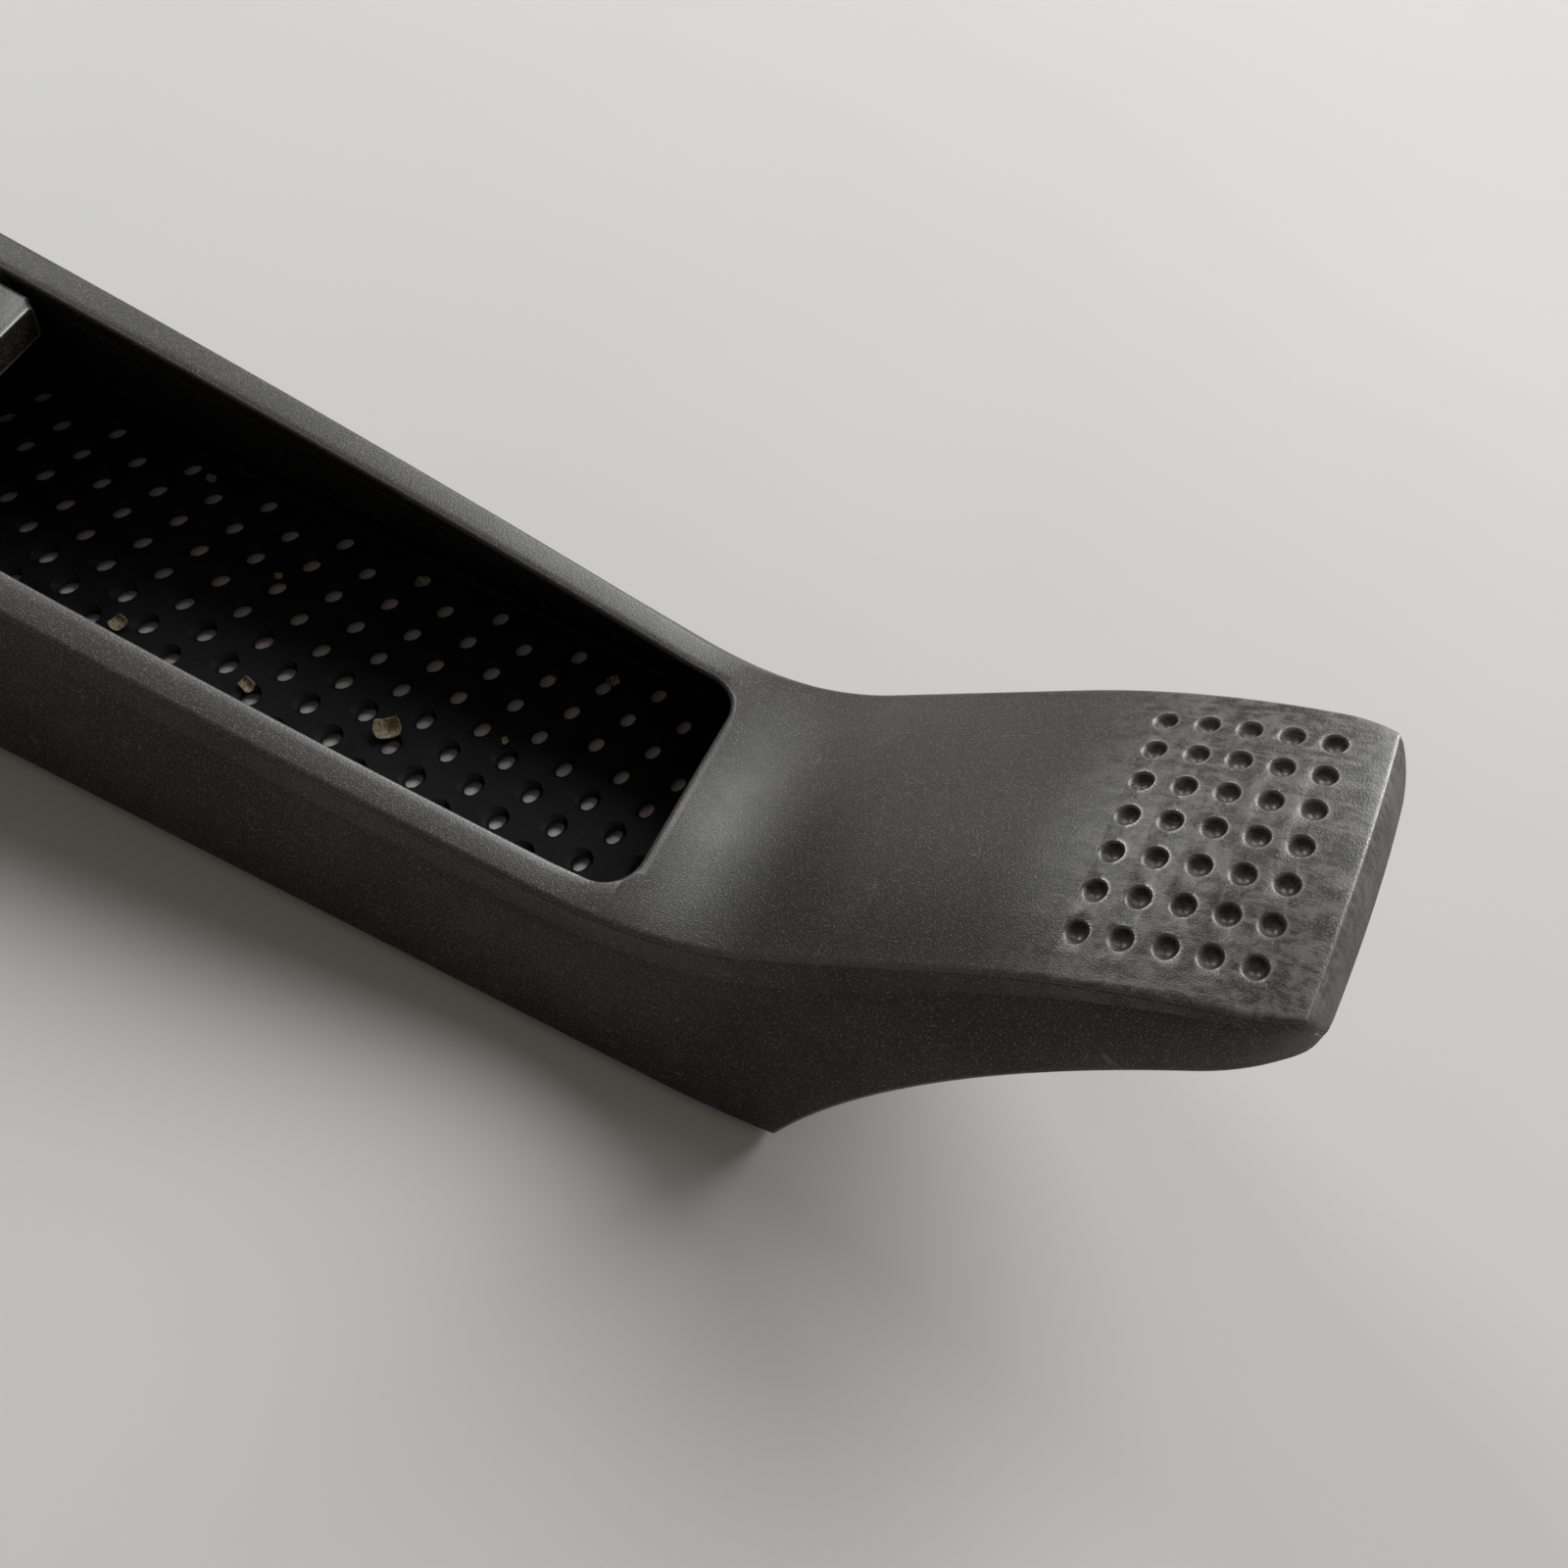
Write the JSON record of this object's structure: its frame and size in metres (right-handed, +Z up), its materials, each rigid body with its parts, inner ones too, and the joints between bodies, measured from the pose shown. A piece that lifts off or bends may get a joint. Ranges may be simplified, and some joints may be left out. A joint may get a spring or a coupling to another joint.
{
  "type": "rasp plane",
  "caption": "Hand rasp plane: a channel-shaped cast frame with a swept-up dimpled toe, a perforated rasp blade for a sole, a rear handle and a blade tension screw.",
  "frame": {"origin": "on the plane the tooth tips touch, at the middle of the tool's length and width", "axes": "+X towards the toe, +Y to the tool's left side, +Z up from the sole"},
  "size_m": [0.3104, 0.0456, 0.1],
  "materials": {
    "cast_paint": "satin, worn",
    "blade_steel": "satin black",
    "bright_steel": "satin, dulled"
  },
  "bodies": {
    "frame": {"body_casting": "cast_paint", "rasp_blade": "blade_steel", "handle_casting": "cast_paint", "handle_screws": "bright_steel", "handle_washers": "bright_steel", "thrust_washer": "bright_steel"},
    "slider": {"tension_slider": "bright_steel"},
    "screw": {"tension_screw": "bright_steel", "retaining_ring": "bright_steel"}
  },
  "joints": [
    {"name": "screw_turn", "type": "hinge", "parent": "frame", "child": "screw", "pos_m": [0, 0, 0.0105], "axis": [1, 0, 0], "range_deg": [-1800, 0]},
    {"name": "slider_travel", "type": "slide", "parent": "frame", "child": "slider", "axis": [1, 0, 0], "range_m": [0, 0.005]}
  ],
  "couplings": [
    {"joint": "screw_turn", "follows": "slider_travel", "rad_per_m": -6283.2}
  ]
}
